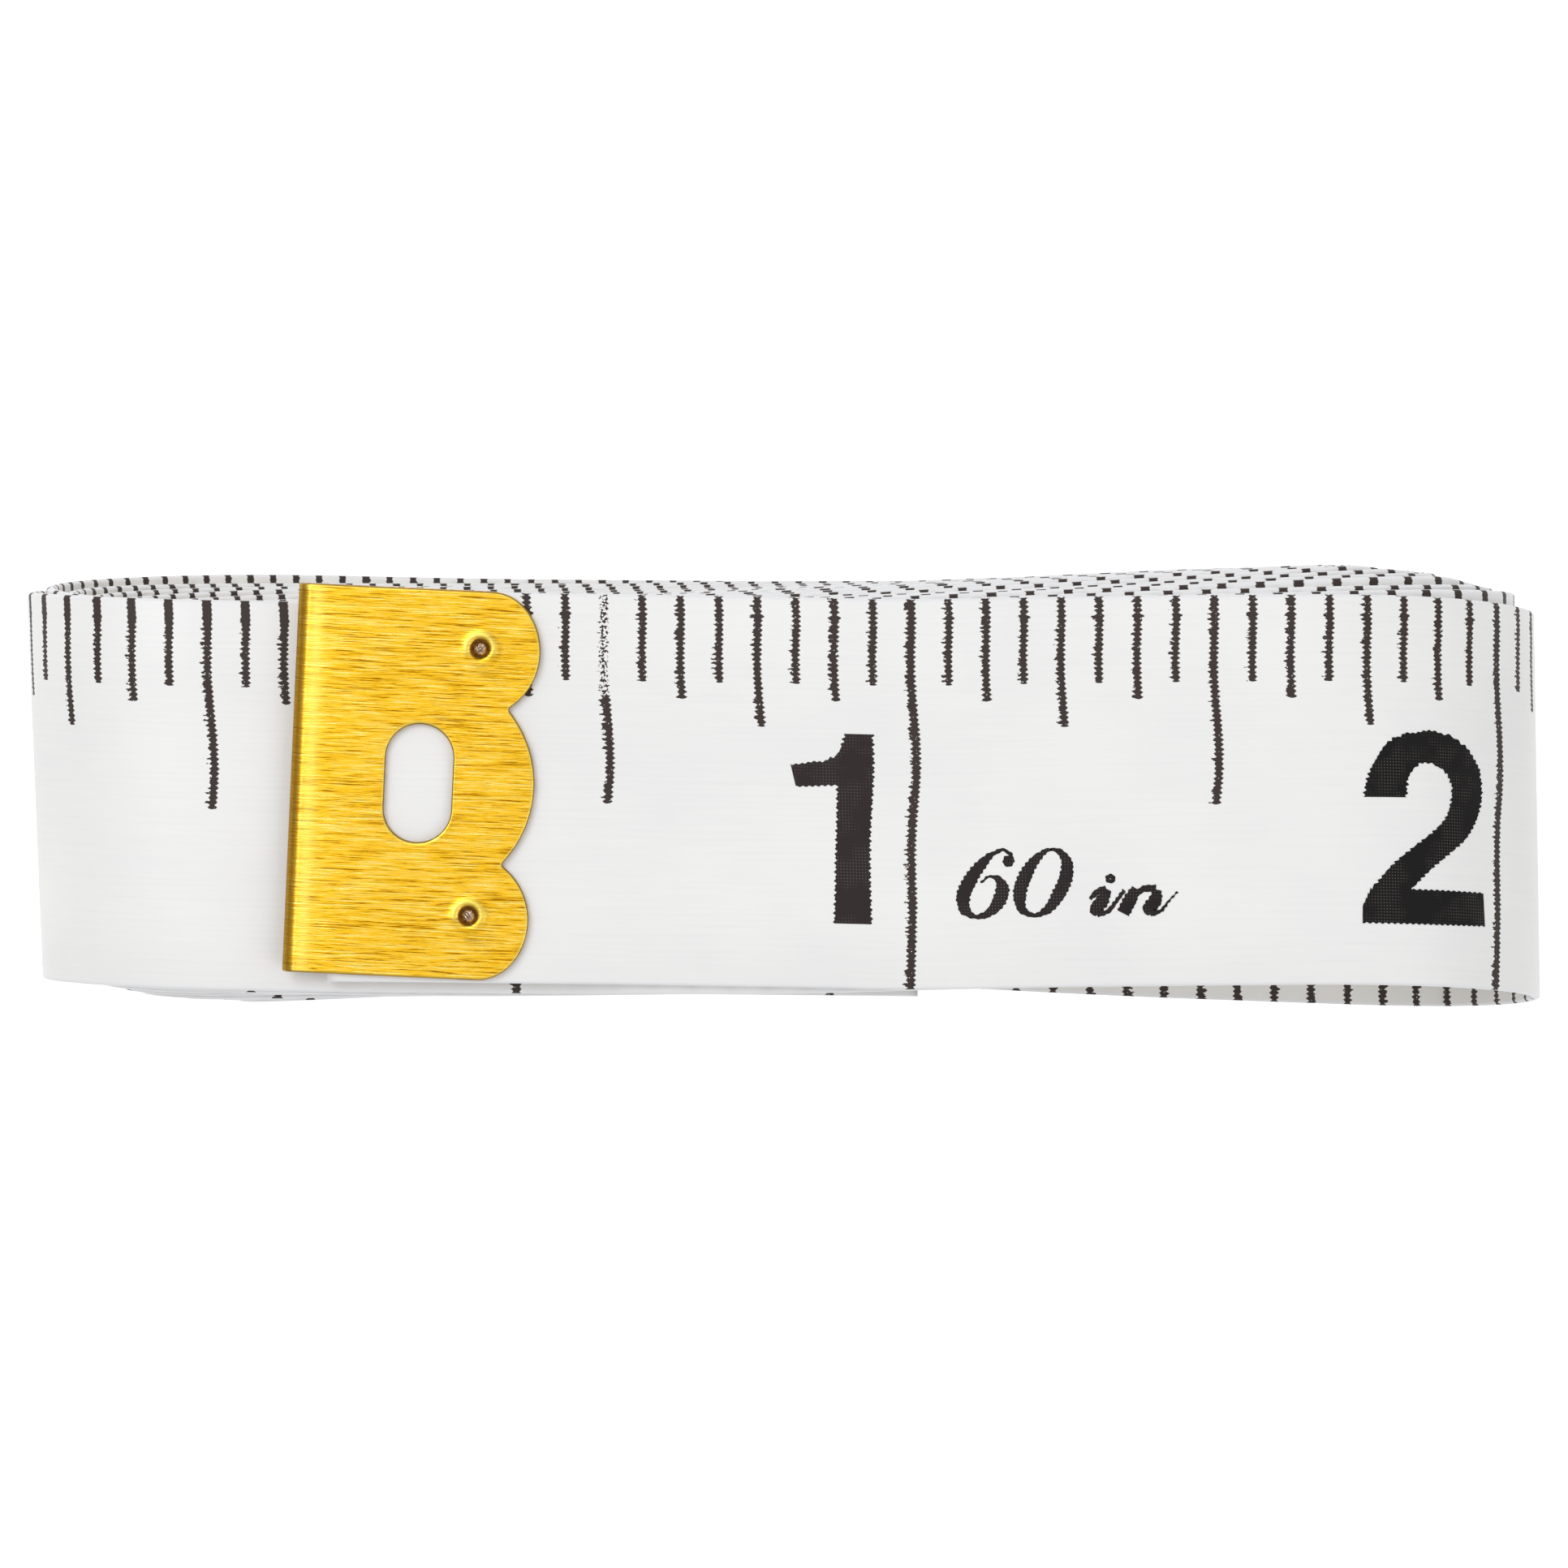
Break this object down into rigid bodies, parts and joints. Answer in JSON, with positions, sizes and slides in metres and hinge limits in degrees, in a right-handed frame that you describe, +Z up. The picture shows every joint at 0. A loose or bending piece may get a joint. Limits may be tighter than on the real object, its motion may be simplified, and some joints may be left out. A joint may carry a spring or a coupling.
{
  "type": "cloth tape measure",
  "caption": "Flexible printed measuring ribbon wound up flat in loops, with a folded brass tab crimped over each end.",
  "frame": {"origin": "middle of the roll's footprint, on the surface that it lies on", "axes": "+X along the roll, from the end near the outer tab to the other end; +Z up, out of the top run that carries the outer tab; +Y across the ribbon, towards the edge that its inch marks start from"},
  "size_m": [0.063, 0.019, 0.017],
  "materials": {
    "coated_cloth": "vinyl-coated woven ribbon, semi-matt, printed in black",
    "brass": "brushed sheet brass"
  },
  "bodies": {
    "roll": {"tape_roll": "coated_cloth", "inner_end_tab": "brass"},
    "free_end": {"tape_free_end": "coated_cloth", "outer_end_tab": "brass"}
  },
  "joints": [
    {"name": "free_end_peel", "type": "hinge", "parent": "roll", "child": "free_end", "pos_m": [0.02, 0.00031, 0.01625], "axis": [0, 1, 0], "range_deg": [0, 135]}
  ]
}
